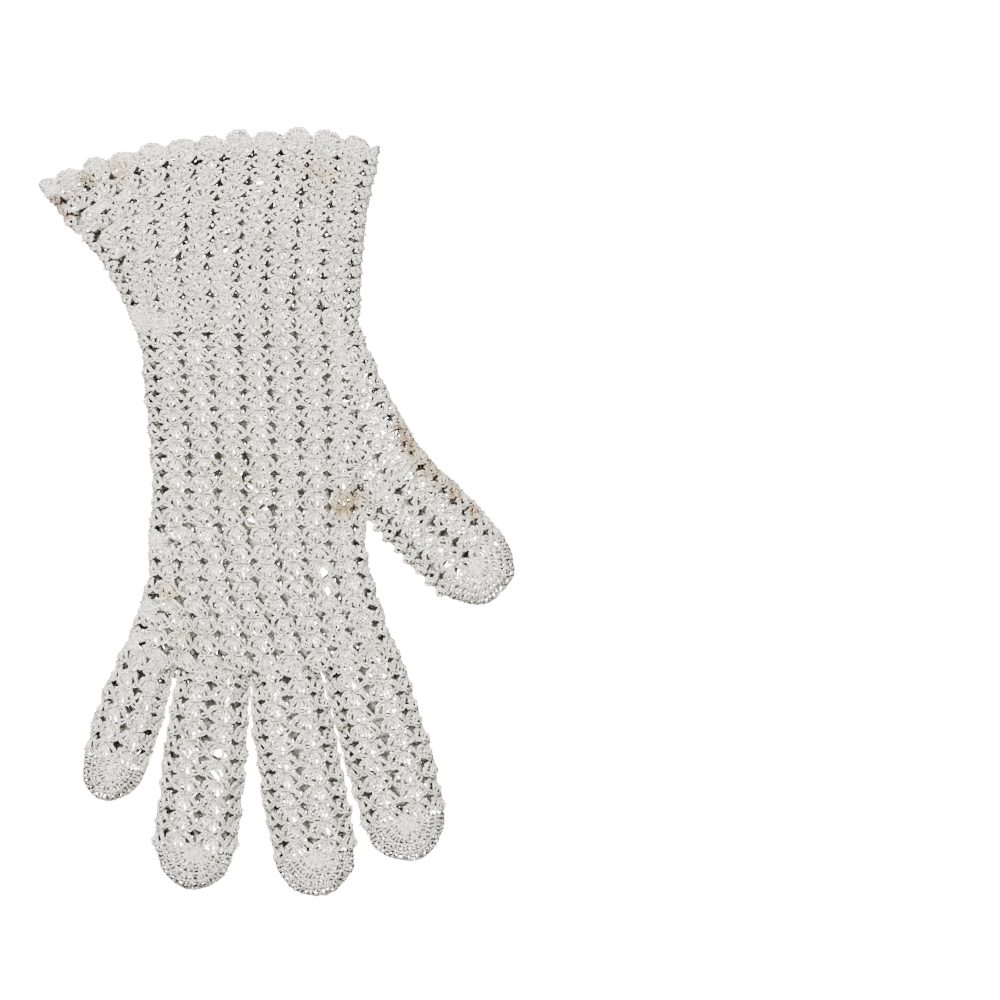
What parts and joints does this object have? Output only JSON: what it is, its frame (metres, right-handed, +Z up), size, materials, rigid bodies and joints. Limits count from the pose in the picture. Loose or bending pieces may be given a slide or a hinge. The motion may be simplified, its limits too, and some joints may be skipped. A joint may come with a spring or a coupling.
{
  "type": "crochet glove",
  "caption": "White cotton crochet dress glove in shell stitch with a flared, scalloped gauntlet cuff, lying flat.",
  "frame": {"origin": "centre of the bounding box on the surface that the glove lies on", "axes": "+Z up from the surface, +Y from the fingers towards the cuff, +X towards the thumb's side"},
  "size_m": [0.1714, 0.2764, 0.0101],
  "materials": {
    "cotton": "matt crocheted thread"
  },
  "bodies": {
    "root": {"cuff_edging": "cotton", "cuff": "cotton", "hand": "cotton", "thumb": "cotton", "index_finger": "cotton", "middle_finger": "cotton", "ring_finger": "cotton", "little_finger": "cotton"}
  },
  "joints": []
}
